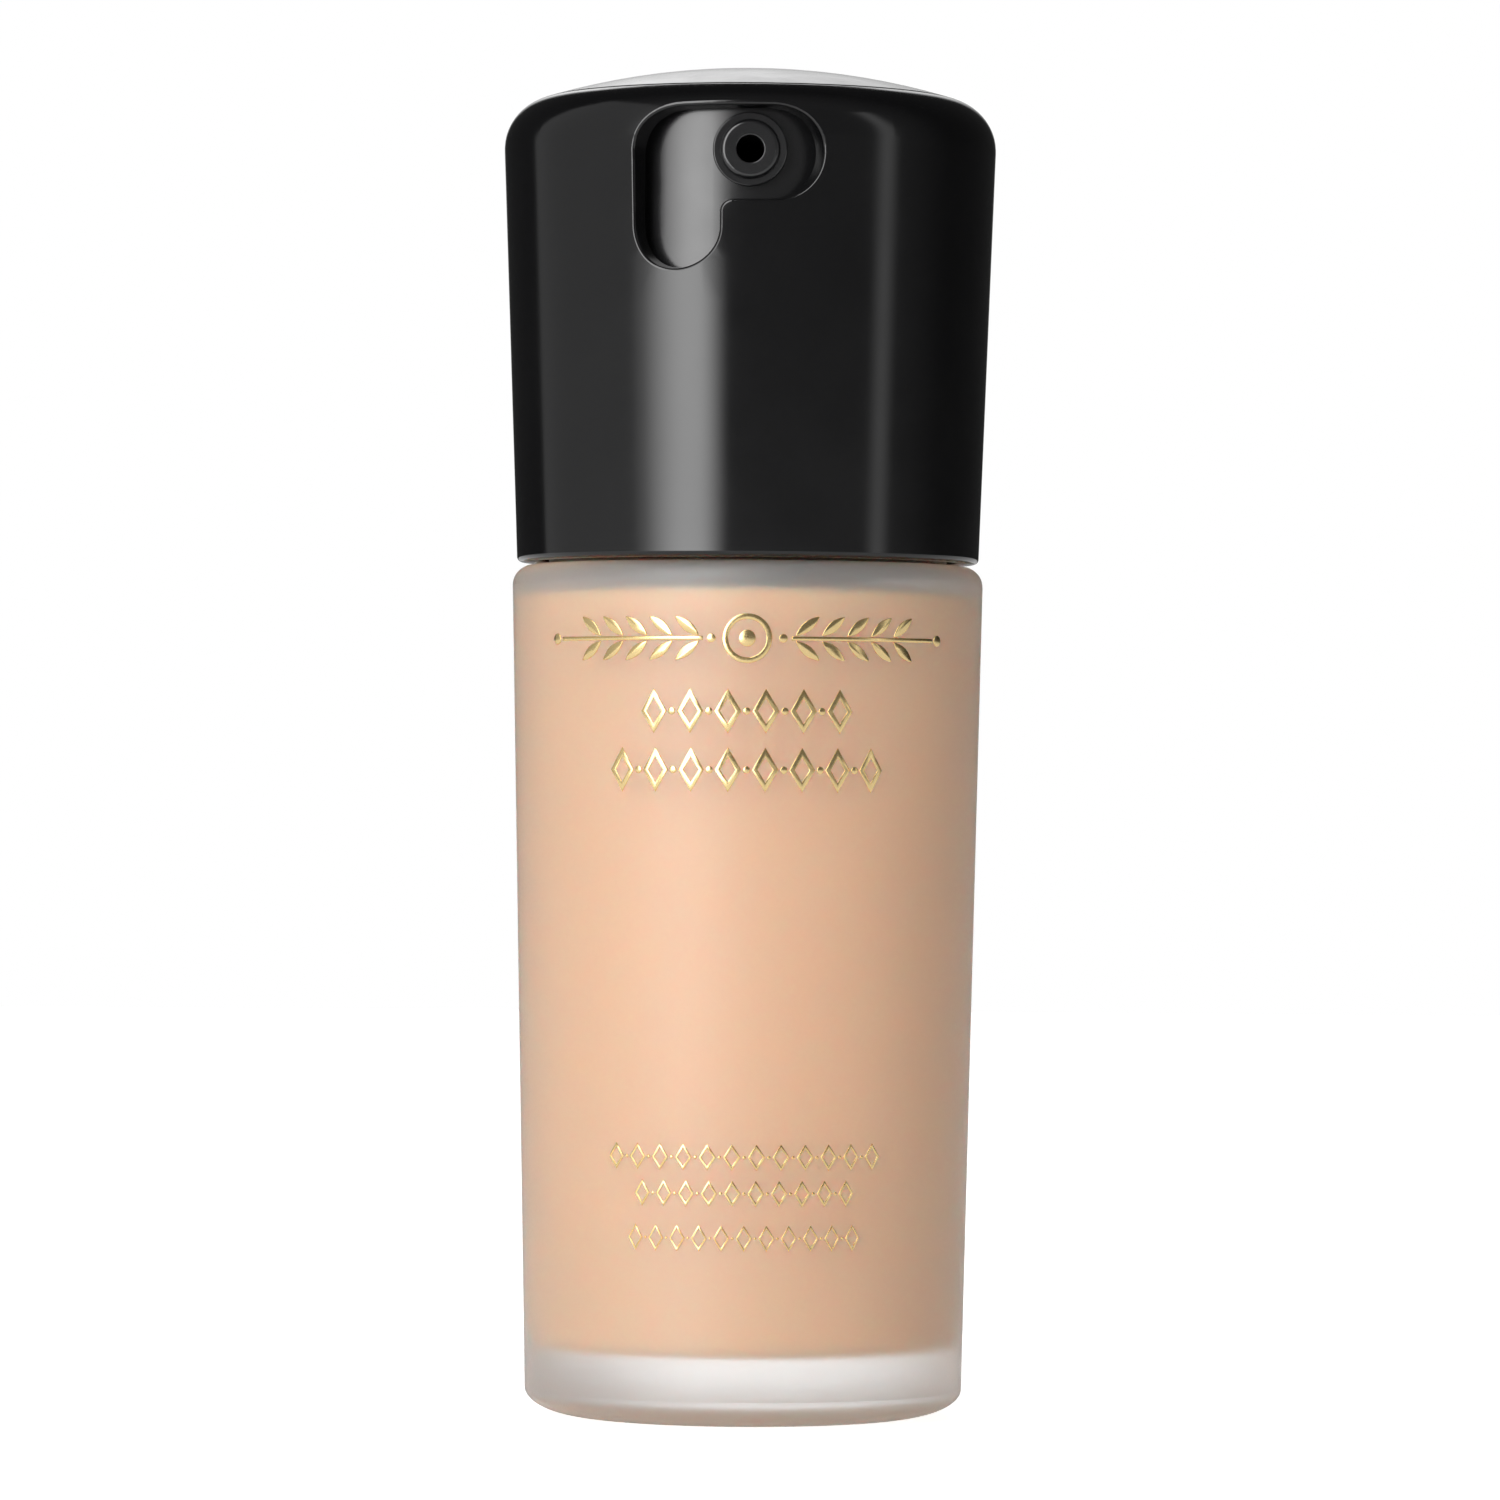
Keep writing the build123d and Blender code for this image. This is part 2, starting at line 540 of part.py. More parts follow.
def shell_retaining_ring():
    """Snaps into the shell and turns in the sleeve's groove. A lug on it meets the stops."""
    low, high = GROOVE_LOW_Z + RING_GAP, GROOVE_TOP_Z - RING_GAP
    outer = SHELL_LOW_BORE_R - FIT
    snap_half = SNAP_HALF - 0.05
    ring = turned(
        (SLEEVE_R + RING_GAP, low, 0.15),
        (outer, low, 0.1),
        (outer, RING_Z - snap_half),
        (outer + 0.22, RING_Z - snap_half + 0.15),
        (outer + 0.22, RING_Z + snap_half - 0.15),
        (outer, RING_Z + snap_half),
        (outer, high, 0.1),
        (SLEEVE_R + RING_GAP, high, 0.15),
    )
    lug_in, lug_out = SLEEVE_R - 0.75, SLEEVE_R + 0.8
    lug = turned(
        (lug_in, low),
        (lug_out, low),
        (lug_out, high),
        (lug_in, high),
        start=90 - STOP_HALF,
        sweep=2 * STOP_HALF,
    )
    return ring + lug


PARTS = [
    glass_bottle,
    foundation_fill,
    neck_gasket,
    pump_housing,
    dip_tube,
    turret_cap,
    stem_wiper,
    snap_collar,
    guide_sleeve,
    spring_seat,
    return_spring,
    check_ball,
    piston_rod,
    piston,
    upper_stem,
    actuator_core,
    press_button,
    nozzle_insert,
    outer_shell,
    shell_retaining_ring,
]

os.makedirs("parts", exist_ok=True)
for make in PARTS:
    export_step(make(), f"parts/{make.__name__}.step")
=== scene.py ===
import json
from math import cos, pi, radians, sin

import bmesh
import bpy
from mathutils import Matrix, Vector

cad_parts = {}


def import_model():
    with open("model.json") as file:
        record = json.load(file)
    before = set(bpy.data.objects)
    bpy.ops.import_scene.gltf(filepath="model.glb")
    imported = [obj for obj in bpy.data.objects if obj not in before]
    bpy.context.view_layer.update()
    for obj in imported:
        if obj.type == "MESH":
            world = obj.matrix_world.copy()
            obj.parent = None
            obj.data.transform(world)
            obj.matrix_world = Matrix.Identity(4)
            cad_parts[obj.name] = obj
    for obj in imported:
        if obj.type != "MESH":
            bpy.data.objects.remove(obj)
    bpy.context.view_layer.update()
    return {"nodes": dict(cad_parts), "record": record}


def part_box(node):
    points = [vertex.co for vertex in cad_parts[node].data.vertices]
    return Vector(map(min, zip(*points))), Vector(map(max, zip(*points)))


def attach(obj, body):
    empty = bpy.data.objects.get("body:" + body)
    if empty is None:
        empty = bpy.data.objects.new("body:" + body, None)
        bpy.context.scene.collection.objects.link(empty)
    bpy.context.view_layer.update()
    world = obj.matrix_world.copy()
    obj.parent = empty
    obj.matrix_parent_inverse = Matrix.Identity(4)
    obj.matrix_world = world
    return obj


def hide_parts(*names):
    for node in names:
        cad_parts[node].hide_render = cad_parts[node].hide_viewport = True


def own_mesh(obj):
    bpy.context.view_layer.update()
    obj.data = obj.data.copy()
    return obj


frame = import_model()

MM = 0.001
scene = bpy.context.scene
nodes = frame["nodes"]

# ---- sizes shared with the CAD model, in millimetres ----

GLASS_FOOT_R = 15.99  # radius of the tapered glass wall, carried down to the base plane
GLASS_TAPER = 0.0208  # growth of that radius per unit of height
GLASS_WALL = 2.95
CAVITY_TOP_ROUND, CAVITY_FOOT_ROUND = 0.9, 1.3  # the liquid's corners follow the glass
HOUSING_R, HOUSING_FOOT_Z = 5.4, 45.5


def glass_radius(z):
    """Radius of the glass wall in millimetres at a height in millimetres."""
    return GLASS_FOOT_R + GLASS_TAPER * z


# ---- helpers ----


def linear(hex_colour, alpha=1.0):
    """An sRGB hex colour as linear RGBA."""
    channels = [int(hex_colour[i : i + 2], 16) / 255 for i in (1, 3, 5)]
    return tuple(c / 12.92 if c <= 0.04045 else ((c + 0.055) / 1.055) ** 2.4 for c in channels) + (alpha,)


def add(tree, kind, inputs=None, **settings):
    """Adds a node. inputs maps a socket to a value or to the output that it is linked from."""
    made = tree.nodes.new(kind)
    for name, value in settings.items():
        setattr(made, name, value)
    for key, value in (inputs or {}).items():
        if isinstance(value, bpy.types.NodeSocket):
            tree.links.new(value, made.inputs[key])
        else:
            made.inputs[key].default_value = value
    return made


def material(name):
    """An empty node material with its output, and its Object coordinates."""
    made = bpy.data.materials.new(name)
    made.use_nodes = True
    tree = made.node_tree
    tree.nodes.clear()
    place = add(tree, "ShaderNodeTexCoord").outputs["Object"]
    return made, tree, place


def finish(tree, shader):
    """Sends a shader to the surface."""
    add(tree, "ShaderNodeOutputMaterial", {"Surface": shader.outputs[0]})


def mesh_piece(name, bm, body, look, smooth_angle=35):
    """Turns a finished bmesh, in metres, into a piece that rides on a body."""
    bmesh.ops.recalc_face_normals(bm, faces=bm.faces)
    for face in bm.faces:
        face.smooth = True
    for edge in bm.edges:
        if len(edge.link_faces) == 2 and edge.calc_face_angle() > radians(smooth_angle):
            edge.smooth = False
    mesh = bpy.data.meshes.new(name)
    bm.to_mesh(mesh)
    bm.free()
    mesh.materials.append(look)
    piece = bpy.data.objects.new(name, mesh)
    scene.collection.objects.link(piece)
    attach(piece, body)
    return piece


def lathe(outline, steps=160):
    """Closed solid turned about Z, in metres, from corners (radius, height, rounding) in millimetres."""
    same = 0.0001 * MM  # distance within which two points count as one
    bm = bmesh.new()
    chain = [bm.verts.new((r * MM, 0, z * MM)) for r, z, _ in outline]
    edges = [bm.edges.new(pair) for pair in zip(chain, chain[1:])]
    bmesh.ops.spin(
        bm, geom=chain + edges, cent=(0, 0, 0), axis=(0, 0, 1), angle=2 * pi, steps=steps, use_merge=True
    )
    bmesh.ops.remove_doubles(bm, verts=bm.verts, dist=5 * same)
    for radius, z, rounding in outline:
        if not rounding:
            continue
        ring = [
            e
            for e in bm.edges
            if all(abs(v.co.z - z * MM) < same and abs(v.co.xy.length - radius * MM) < same for v in e.verts)
        ]
        bmesh.ops.bevel(
            bm, geom=ring, offset=rounding * MM, segments=8, profile=0.5, affect="EDGES", material=-1
        )
    return bm


# ---- materials ----


def frosted_glass():
    """Flint glass, acid-etched: it blurs what lies behind it, and light on it gives it a whitish veil."""
    look, tree, place = material("acid_etched_flint_glass")
    grain_mm = 0.22  # the etch is finer, and is drawn this coarse so that it shows
    grain = add(tree, "ShaderNodeTexNoise", {"Vector": place, "Scale": 1 / (grain_mm * MM), "Detail": 3.0})
    etched = add(
        tree,
        "ShaderNodeMapRange",
        {"Value": grain.outputs["Fac"], "From Min": 0.35, "From Max": 0.65, "To Min": 0.40, "To Max": 0.50},
    )
    shader = add(
        tree,
        "ShaderNodeBsdfPrincipled",
        {
            "Base Color": (1.0, 1.0, 1.0, 1.0),
            "Roughness": etched.outputs[0],
            "IOR": 1.52,
            "Transmission Weight": 0.92,
            "Coat Weight": 1.0,
            "Coat Roughness": 0.72,
            "Coat IOR": 1.65,
        },
    )
    finish(tree, shader)
    return look


def foundation_cream():
    """Pigmented emulsion: opaque, even and soft, with a little light passing under its surface."""
    look, tree, place = material("foundation_cream")
    cloud_mm = 9
    cloud = add(tree, "ShaderNodeTexNoise", {"Vector": place, "Scale": 1 / (cloud_mm * MM), "Detail": 2.0})
    tone = add(
        tree,
        "ShaderNodeMix",
        {"Factor": cloud.outputs["Fac"], "A": linear("#EFC395"), "B": linear("#F2C699")},
        data_type="RGBA",
    )
    shader = add(
        tree,
        "ShaderNodeBsdfPrincipled",
        {
            "Base Color": tone.outputs["Result"],
            "Roughness": 0.5,
            "Specular IOR Level": 0.1,
            "Subsurface Weight": 1.0,
            "Subsurface Radius": (1.0, 0.45, 0.3),
            "Subsurface Scale": 2 * MM,
        },
    )
    finish(tree, shader)
    return look


def gold_foil():
    """Hot-stamped metallised foil: bright pale gold, with a faint grain from the etched glass under it."""
    look, tree, place = material("hot_stamped_gold_foil")
    grain_mm = 0.15
    grain = add(tree, "ShaderNodeTexNoise", {"Vector": place, "Scale": 1 / (grain_mm * MM), "Detail": 2.0})
    rough = add(
        tree,
        "ShaderNodeMapRange",
        {"Value": grain.outputs["Fac"], "From Min": 0.3, "From Max": 0.7, "To Min": 0.16, "To Max": 0.26},
    )
    bump = add(
        tree, "ShaderNodeBump", {"Height": grain.outputs["Fac"], "Strength": 0.15, "Distance": 0.01 * MM}
    )
    shader = add(
        tree,
        "ShaderNodeBsdfPrincipled",
        {
            "Base Color": linear("#E8CD93"),
            "Metallic": 1.0,
            "Roughness": rough.outputs[0],
            "Normal": bump.outputs[0],
        },
    )
    finish(tree, shader)
    return look


def moulded_plastic(name, base, rough_low, rough_high, ripple_mm, ripple_depth, **extra):
    """Injection-moulded plastic: a skin that ripples very slightly and varies in gloss."""
    look, tree, place = material(name)
    ripple = add(tree, "ShaderNodeTexNoise", {"Vector": place, "Scale": 1 / (ripple_mm * MM), "Detail": 3.0})
    rough = add(
        tree,
        "ShaderNodeMapRange",
        {
            "Value": ripple.outputs["Fac"],
            "From Min": 0.3,
            "From Max": 0.7,
            "To Min": rough_low,
            "To Max": rough_high,
        },
    )
    bump = add(
        tree,
        "ShaderNodeBump",
        {"Height": ripple.outputs["Fac"], "Strength": 1.0, "Distance": ripple_depth * MM},
    )
    inputs = {
        "Base Color": linear(base),
        "Roughness": rough.outputs[0],
        "IOR": 1.5,
        "Normal": bump.outputs[0],
    }
    inputs.update({key.replace("_", " "): value for key, value in extra.items()})
    finish(tree, add(tree, "ShaderNodeBsdfPrincipled", inputs))
    return look


def drawn_steel(name, low, high):
    """Stainless steel, drawn or lapped: bright, with fine marks that vary its gloss."""
    look, tree, place = material(name)
    mark_mm = 0.1
    marks = add(tree, "ShaderNodeTexNoise", {"Vector": place, "Scale": 1 / (mark_mm * MM), "Detail": 4.0})
    rough = add(
        tree,
        "ShaderNodeMapRange",
        {"Value": marks.outputs["Fac"], "From Min": 0.3, "From Max": 0.7, "To Min": low, "To Max": high},
    )
    shader = add(
        tree,
        "ShaderNodeBsdfPrincipled",
        {"Base Color": linear("#C9CACC"), "Metallic": 1.0, "Roughness": rough.outputs[0]},
    )
    finish(tree, shader)
    return look


looks = {
    "frosted_glass": frosted_glass(),
    "foundation": foundation_cream(),
    "gold_foil": gold_foil(),
    # high-gloss ABS from a polished mould: a mirror-like skin with the faintest waviness
    "black_gloss": moulded_plastic("high_gloss_black_abs", "#080809", 0.12, 0.16, 6.0, 0.002),
    # semi-gloss black polypropylene: what it mirrors is blurred
    "black_satin": moulded_plastic(
        "semi_gloss_black_polypropylene", "#161617", 0.19, 0.24, 3.0, 0.002, Specular_IOR_Level=0.65
    ),
    # satin black polypropylene: softer and slightly greyer
    "black_pp": moulded_plastic("satin_black_polypropylene", "#161617", 0.38, 0.48, 1.2, 0.004),
    "white_pp": moulded_plastic("white_polypropylene", "#E9E9E6", 0.35, 0.45, 1.2, 0.004),
    # natural polymers let some light into their walls
    "natural_pp": moulded_plastic(
        "natural_polypropylene", "#DADAD5", 0.30, 0.40, 1.5, 0.004,
        Subsurface_Weight=0.3, Subsurface_Scale=2 * MM,
    ),
    "natural_pe": moulded_plastic(
        "natural_polyethylene", "#E4E4DF", 0.42, 0.52, 1.5, 0.004,
        Subsurface_Weight=0.4, Subsurface_Scale=2 * MM,
    ),
    # foamed polyethylene liner: soft and dull
    "elastomer": moulded_plastic("foamed_liner", "#B9B9B4", 0.6, 0.75, 0.35, 0.02),
    "spring_steel": drawn_steel("drawn_spring_steel", 0.22, 0.36),
    "ball_steel": drawn_steel("lapped_ball_steel", 0.05, 0.12),
}

for entry in frame["record"]["subparts"]:
    node = nodes[entry["node"]]
    for position in range(len(node.material_slots)):
        node.material_slots[position].material = looks[entry["material_slot"]]


# ---- the liquid, wetted to the glass ----


def liquid():
    """The liquid's skin lies a hair inside the glass wall, so that no air shows between them."""
    low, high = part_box("foundation_fill")
    wet = 0.05  # how far the skin goes past the CAD solid, in millimetres
    foot_z, top_z = low.z / MM - wet, high.z / MM + wet
    top_r = glass_radius(top_z) - GLASS_WALL + wet
    foot_r = glass_radius(foot_z) - GLASS_WALL + wet
    clear = 0.1  # gap left round the pump's housing
    bore_r, bore_foot_z = HOUSING_R + clear, HOUSING_FOOT_Z - clear
    bm = lathe(
        [
            (0, foot_z, 0),
            (foot_r, foot_z, CAVITY_FOOT_ROUND),
            (top_r, top_z, CAVITY_TOP_ROUND),
            (bore_r, top_z, 0),
            (bore_r, bore_foot_z, 0),
            (0, bore_foot_z, 0),
        ]
    )
    piece = mesh_piece("foundation_liquid", bm, "bottle", looks["foundation"], smooth_angle=60)
    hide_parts("foundation_fill")


liquid()


# ---- the return spring ----


def return_spring():
    """Round wire wound as a coil, flat ends left out."""
    low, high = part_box("return_spring")
    wire_r, wire_sides, turns, steps_per_turn = 0.25 * MM, 12, 7, 36
    coil_r = high.x - wire_r
    start_z, end_z = low.z + wire_r, high.z - wire_r
    bm = bmesh.new()
    place = Matrix.Translation((coil_r, 0, start_z)) @ Matrix.Rotation(pi / 2, 4, "X")
    section = bmesh.ops.create_circle(
        bm, cap_ends=True, radius=wire_r, segments=wire_sides, matrix=place
    )["verts"]
    steps = turns * steps_per_turn
    bmesh.ops.spin(
        bm,
        geom=section[0].link_faces[:],
        axis=(0, 0, 1),
        cent=(0, 0, 0),
        dvec=(0, 0, (end_z - start_z) / steps),
        angle=2 * pi * turns,
        steps=steps,
    )
    bmesh.ops.holes_fill(bm, edges=[e for e in bm.edges if e.is_boundary], sides=wire_sides)
    piece = mesh_piece("pump_spring", bm, "bottle", looks["spring_steel"], smooth_angle=60)
    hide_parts("return_spring")
    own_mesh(piece)


return_spring()


# ---- gold foil ornament, wrapped round the front of the glass ----

FOIL_SUNK = 0.015  # the foil's back lies this far inside the glass, in millimetres
FOIL_PROUD = 0.07
FOIL_EDGE = 0.05  # bevel of its front edge


def disc(bm, u, v, radius, sides=28):
    """Flat disc in the XZ plane, facing forwards, in millimetres."""
    turn = Matrix.Translation((u, 0, v)) @ Matrix.Rotation(pi / 2, 4, "X")
    return bmesh.ops.create_circle(bm, cap_ends=True, radius=radius, segments=sides, matrix=turn)["verts"]


def hollow(bm, verts, stroke):
    """Leaves only a rim of that stroke of a flat shape."""
    face = verts[0].link_faces[0]
    bmesh.ops.inset_region(bm, faces=[face], thickness=stroke, use_even_offset=True, use_boundary=True)
    bmesh.ops.delete(bm, geom=[face], context="FACES")


def lozenge(bm, u, v, width, height, stroke):
    """Rim of a diamond."""
    verts = disc(bm, 0, 0, 1, sides=4)
    bmesh.ops.scale(bm, verts=verts, vec=(width / 2, 1, height / 2))
    bmesh.ops.translate(bm, verts=verts, vec=(u, 0, v))
    hollow(bm, verts, stroke)


def leaf(bm, u, v, length, width, lean):
    """Pointed leaf that starts at a point and leans up by an angle in degrees."""
    pinch = 0.55  # share of its thickness that it loses towards its tips
    verts = disc(bm, 0, 0, 1, sides=20)
    for vert in verts:
        vert.co.z *= 1 - vert.co.x**2 * pinch
    bmesh.ops.scale(bm, verts=verts, vec=(length / 2, 1, width / 2))
    bmesh.ops.translate(bm, verts=verts, vec=(length / 2, 0, 0))
    bmesh.ops.rotate(bm, verts=verts, matrix=Matrix.Rotation(-radians(lean), 3, "Y"))
    bmesh.ops.translate(bm, verts=verts, vec=(u, 0, v))


def rule(bm, start, end, v, stroke):
    """Straight rule along the row."""
    step_mm = 0.4  # short enough to follow the glass
    steps = max(2, int((end - start) / step_mm))
    turn = Matrix.Translation(((start + end) / 2, 0, v)) @ Matrix.Rotation(pi / 2, 4, "X")
    verts = bmesh.ops.create_grid(bm, x_segments=steps, y_segments=1, size=0.5, matrix=turn)["verts"]
    bmesh.ops.scale(
        bm,
        verts=verts,
        vec=(end - start, 1, stroke),
        space=Matrix.Translation((-(start + end) / 2, 0, -v)),
    )


def ring(bm, u, v, radius, stroke):
    """Round rim."""
    hollow(bm, disc(bm, u, v, radius, sides=40), stroke)


def wrap_foil(name, bm):
    """Gives the flat motifs their thickness and rounded edge, and wraps them round the tapered glass."""
    for face in bm.faces:
        if face.normal.y > 0:
            face.normal_flip()
    front = bmesh.ops.extrude_face_region(bm, geom=list(bm.faces))["geom"]
    moved = [item for item in front if isinstance(item, bmesh.types.BMVert)]
    bmesh.ops.translate(bm, verts=moved, vec=(0, -(FOIL_PROUD + FOIL_SUNK), 0))
    bmesh.ops.recalc_face_normals(bm, faces=bm.faces)
    rim = [
        e
        for e in bm.edges
        if len(e.link_faces) == 2
        and e.calc_face_angle() > radians(45)
        and all(v.co.y < -FOIL_SUNK for v in e.verts)
    ]
    bmesh.ops.bevel(bm, geom=rim, offset=FOIL_EDGE, segments=2, profile=0.5, affect="EDGES", material=-1)
    for vert in bm.verts:
        u, depth, z = vert.co
        radius = glass_radius(z) - FOIL_SUNK - depth
        turn = u / glass_radius(z)
        vert.co = Vector((radius * sin(turn), -radius * cos(turn), z)) * MM
    mesh_piece(name, bm, "bottle", looks["gold_foil"], smooth_angle=50)


def garland(z, half_width, height):
    """Wide row: a ringed bead in the middle, and a leafy rule to each side that ends in a bead."""
    ring_stroke, rule_stroke = 0.42, 0.3
    near_bead_r, end_bead_r = 0.32, 0.4
    leaf_length, leaf_width, leaf_lean, leaf_pitch = height * 0.62, 0.75, 38, 1.95
    stem = 0.2  # distance of a leaf's foot from the middle of the rule
    bead_gap = height / 2 + 0.9
    inner, outer = bead_gap + 0.5, half_width - 1.0
    leaves = int((outer - inner - 1.2) / leaf_pitch)
    bm = bmesh.new()
    ring(bm, 0, z, height / 2, ring_stroke)
    disc(bm, 0, z, height * 0.17)
    for side in (-1, 1):
        disc(bm, side * (bead_gap - 0.1), z, near_bead_r)
        rule(bm, min(side * inner, side * outer), max(side * inner, side * outer), z, rule_stroke)
        disc(bm, side * (half_width - end_bead_r), z, end_bead_r)
        for i in range(leaves):
            start = inner + 0.3 + i * leaf_pitch
            for up in (-1, 1):
                lean = up * leaf_lean if side > 0 else 180 - up * leaf_lean
                leaf(bm, side * start, z + up * stem, leaf_length, leaf_width, lean)
    wrap_foil("foil_garland", bm)


def chain_row(name, z, half_width, height, count, stroke):
    """Row of diamonds with a bead between each two."""
    bm = bmesh.new()
    pitch = 2 * half_width / count
    width = pitch * 0.72
    bead_r = stroke * 0.75
    for i in range(count):
        u = -half_width + (i + 0.5) * pitch
        lozenge(bm, u, z, width, height, stroke)
        if i:
            disc(bm, u - pitch / 2, z, bead_r, sides=16)
    wrap_foil(name, bm)


garland(z=56.7, half_width=16.2, height=3.57)
for row_name, row_z, row_half_width, row_height, diamonds, row_stroke in (
    ("foil_upper_chain", 51.5, 8.2, 3.2, 6, 0.36),
    ("foil_middle_chain", 47.3, 10.7, 3.2, 8, 0.36),
    ("foil_lower_chain", 19.6, 10.6, 1.9, 12, 0.17),
    ("foil_lower_chain_2", 17.0, 8.4, 1.9, 10, 0.17),
    ("foil_foot_chain", 13.8, 8.9, 1.9, 11, 0.13),
):
    chain_row(row_name, row_z, row_half_width, row_height, diamonds, row_stroke)


# ---- floor, lights and camera ----

# Brightness is set apart for each kind of ray, as a studio does with flags and sheets: what the gloss
# mirrors, what shows through the glass, what only lights the object, and what the camera sees.


def direction(tree):
    """Direction from the object's foot to what is shaded: the vector, and its parts right, away and up."""
    place = add(tree, "ShaderNodeTexCoord").outputs["Object"]
    out = add(tree, "ShaderNodeVectorMath", {0: place}, operation="NORMALIZE").outputs["Vector"]
    return out, *add(tree, "ShaderNodeSeparateXYZ", {0: out}).outputs


def soft_steps(tree, *steps):
    """Product of smooth steps. Each is a value, where the step starts and ends, and its two levels."""
    product = 1.0
    for value, start, end, low, high in steps:
        step = add(
            tree,
            "ShaderNodeMapRange",
            {"Value": value, "From Min": start, "From Max": end, "To Min": low, "To Max": high},
            interpolation_type="SMOOTHSTEP",
        )
        times = add(tree, "ShaderNodeMath", {0: product, 1: step.outputs[0]}, operation="MULTIPLY")
        product = times.outputs[0]
    return product


def beam(tree, out, azimuth, strength):
    """Round soft patch of light at an azimuth from the front, + towards +X."""
    turn = radians(azimuth)
    middle = (sin(turn), -cos(turn), 0)
    towards = add(tree, "ShaderNodeVectorMath", {0: out, 1: middle}, operation="DOT_PRODUCT").outputs["Value"]
    return soft_steps(tree, (towards, 0.78, 0.99, 0.0, strength))


def behind_glass(tree, side, ahead):
    """Brightness of what stands behind the glass: white straight behind, dim to the sides."""
    return soft_steps(
        tree, (ahead, 0.1, 0.9, 0.08, 0.95), (side, 0.0, 0.6, 1.0, 0.25), (side, -0.8, -0.1, 0.5, 1.0)
    )


def level_by_ray(tree, mirrored, through_glass, lighting, direct):
    """Brightness for rays that are mirrored, pass the glass, only light the object, or reach the camera."""
    path = add(tree, "ShaderNodeLightPath").outputs
    bounces = path["Diffuse Depth"]
    lights_only = add(tree, "ShaderNodeMath", {0: bounces, 1: 1.0}, operation="MINIMUM").outputs[0]
    level = mirrored
    for share, other in (
        (path["Is Transmission Ray"], through_glass),
        (lights_only, lighting),
        (path["Is Camera Ray"], direct),
    ):
        level = add(tree, "ShaderNodeMix", {"Factor": share, "A": level, "B": other}).outputs[0]
    return level


def floor():
    """Plain white floor, which glows enough to look white and throws little light back up."""
    bm = bmesh.new()
    bmesh.ops.create_circle(bm, cap_ends=True, radius=1.2, segments=128)
    mesh = bpy.data.meshes.new("floor")
    bm.to_mesh(mesh)
    bm.free()
    ground = bpy.data.objects.new("floor", mesh)
    scene.collection.objects.link(ground)
    look, tree, _ = material("white_sweep")
    _, side, ahead, _ = direction(tree)
    level = level_by_ray(
        tree, mirrored=0.3, through_glass=behind_glass(tree, side, ahead), lighting=0.12, direct=0.85
    )
    glow = add(tree, "ShaderNodeEmission", {"Strength": level})
    white = add(tree, "ShaderNodeBsdfDiffuse", {"Color": linear("#C8C8C8")})
    finish(tree, add(tree, "ShaderNodeAddShader", {0: glow.outputs[0], 1: white.outputs[0]}))
    mesh.materials.append(look)


def softbox(name, azimuth, distance, low, high, width, radiance, fade_left=0.0, fade_right=0.0):
    """Upright soft light at an azimuth from the front, + towards +X, that faces the bottle's axis.

    Lengths are in metres. It fades towards its edges over fade_left and fade_right, as shares of its
    width, as seen from the bottle."""
    data = bpy.data.lights.new(name, "AREA")
    data.shape = "RECTANGLE"
    data.size, data.size_y = width, high - low
    data.energy = radiance * pi * width * (high - low)
    turn = radians(azimuth)
    place = Vector((sin(turn) * distance, -cos(turn) * distance, (low + high) / 2))
    aim = Vector((0, 0, place.z)) - place
    lamp = bpy.data.objects.new(name, data)
    lamp.location = place
    lamp.rotation_euler = aim.to_track_quat("-Z", "Y").to_euler()
    lamp.visible_camera = False
    scene.collection.objects.link(lamp)
    if fade_left or fade_right:
        data.use_nodes = True
        tree = data.node_tree
        tree.nodes.clear()
        spot = add(tree, "ShaderNodeNewGeometry").outputs["Parametric"]
        across = add(tree, "ShaderNodeSeparateXYZ", {0: spot}).outputs["X"]
        fade = soft_steps(tree, (across, 0, fade_left, 0, 1), (across, 1, 1 - fade_right, 0, 1))
        glow = add(tree, "ShaderNodeEmission", {"Strength": fade})
        add(tree, "ShaderNodeOutputLight", {0: glow.outputs[0]})


def lights():
    """The key gives the black shell its broad streak, and the strip the thin one."""
    softbox(
        "key", azimuth=-34, distance=0.60, low=-0.05, high=1.60, width=0.56, radiance=6.8,
        fade_left=0.58, fade_right=0.33,
    )
    softbox("side_panel", azimuth=-86, distance=0.50, low=-0.05, high=0.90, width=0.65, radiance=0.4)
    softbox(
        "thin_strip", azimuth=66, distance=0.60, low=-0.05, high=0.70, width=0.17, radiance=1.0,
        fade_left=0.5, fade_right=0.5,
    )


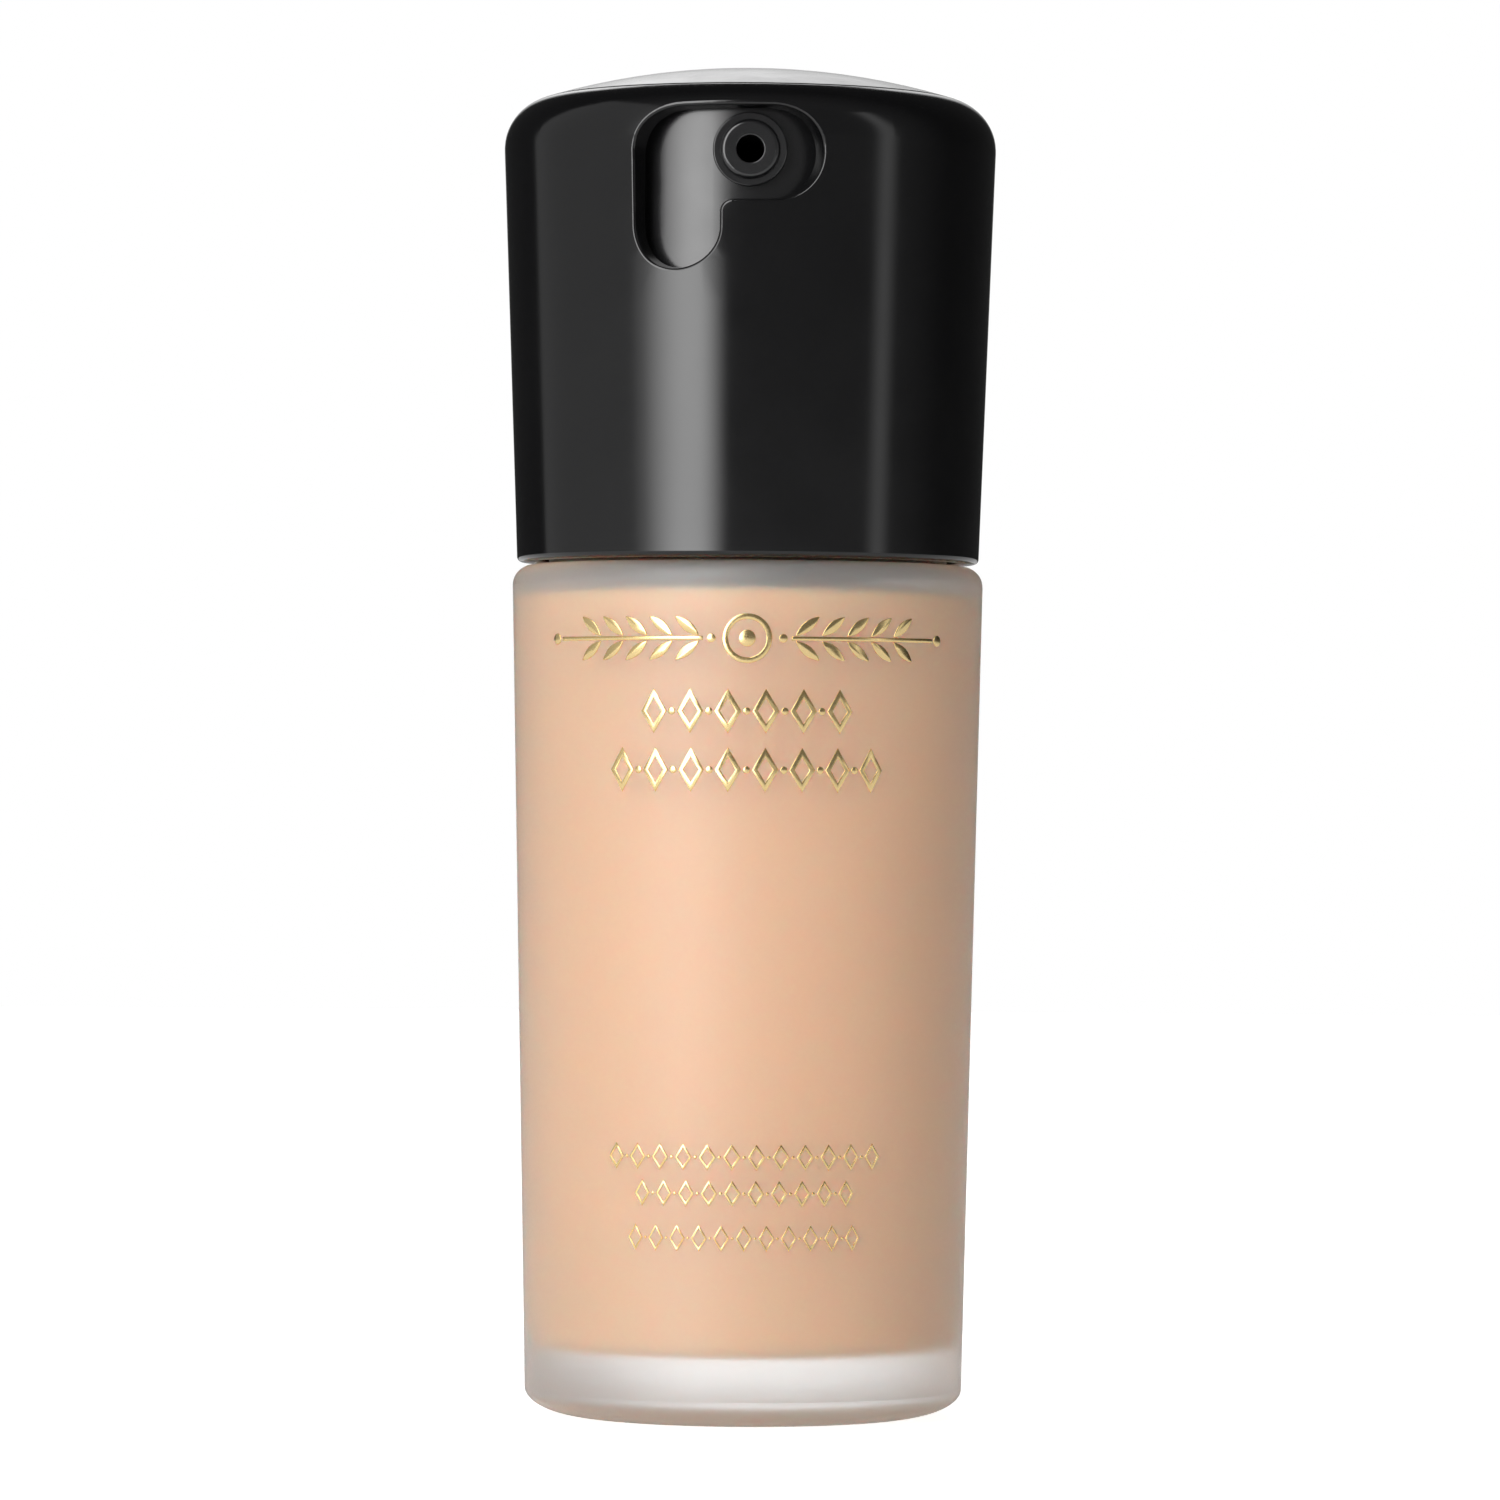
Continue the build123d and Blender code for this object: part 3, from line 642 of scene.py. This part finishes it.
def world():
    """White behind the object and through its glass; to reflections a dim room with a bright sheet behind."""
    scene.world = bpy.data.worlds.new("studio")
    scene.world.use_nodes = True
    tree = scene.world.node_tree
    tree.nodes.clear()
    out, side, ahead, up = direction(tree)

    beside = add(tree, "ShaderNodeMath", {0: side}, operation="ABSOLUTE").outputs[0]
    sheet = soft_steps(
        tree,
        (beside, 0.20, 0.10, 0, 1),  # its sides
        (up, 0.03, 0.08, 0, 1),  # its foot
        (up, 0.54, 0.51, 0, 1),  # its top
        (ahead, 0.0, 0.1, 0, 1),  # none in front
        (up, 0.08, 0.48, 0.3, 2.1),  # brighter towards the top
        (side, -0.12, 0.12, 1.15, 0.85),  # and the left
    )
    room = soft_steps(tree, (ahead, -0.35, 0.35, 0.17, 0.03))
    mirrored = add(tree, "ShaderNodeMath", {0: room, 1: sheet}, operation="ADD").outputs[0]

    fill = 0.0
    for patch in (
        beam(tree, out, azimuth=-17, strength=0.80),
        beam(tree, out, azimuth=42, strength=1.75),
        soft_steps(tree, (ahead, 0.5, 0.95, 0.06, 1.0)),  # from behind
        soft_steps(tree, (up, 0.75, 0.98, 0.0, 1.1)),  # from overhead
    ):
        fill = add(tree, "ShaderNodeMath", {0: fill, 1: patch}, operation="ADD").outputs[0]

    level = level_by_ray(
        tree, mirrored=mirrored, through_glass=behind_glass(tree, side, ahead), lighting=fill, direct=1.0
    )
    backdrop = add(tree, "ShaderNodeBackground", {"Color": (1, 1, 1, 1), "Strength": level})
    add(tree, "ShaderNodeOutputWorld", {"Surface": backdrop.outputs[0]})


def camera():
    """Long lens at the height of the bottle's middle, level, a shade rolled."""
    data = bpy.data.cameras.new("camera")
    data.sensor_width = 36
    data.lens = 193.6
    data.shift_y = 0.0413
    data.clip_start = 0.05
    view = bpy.data.objects.new("camera", data)
    place = Matrix.Translation((0.00027, -0.5926, 0.0443))
    view.matrix_world = place @ Matrix.Rotation(pi / 2, 4, "X") @ Matrix.Rotation(radians(0.35), 4, "Z")
    scene.collection.objects.link(view)
    scene.camera = view


scene.view_settings.view_transform = "Standard"
floor()
lights()
world()
camera()
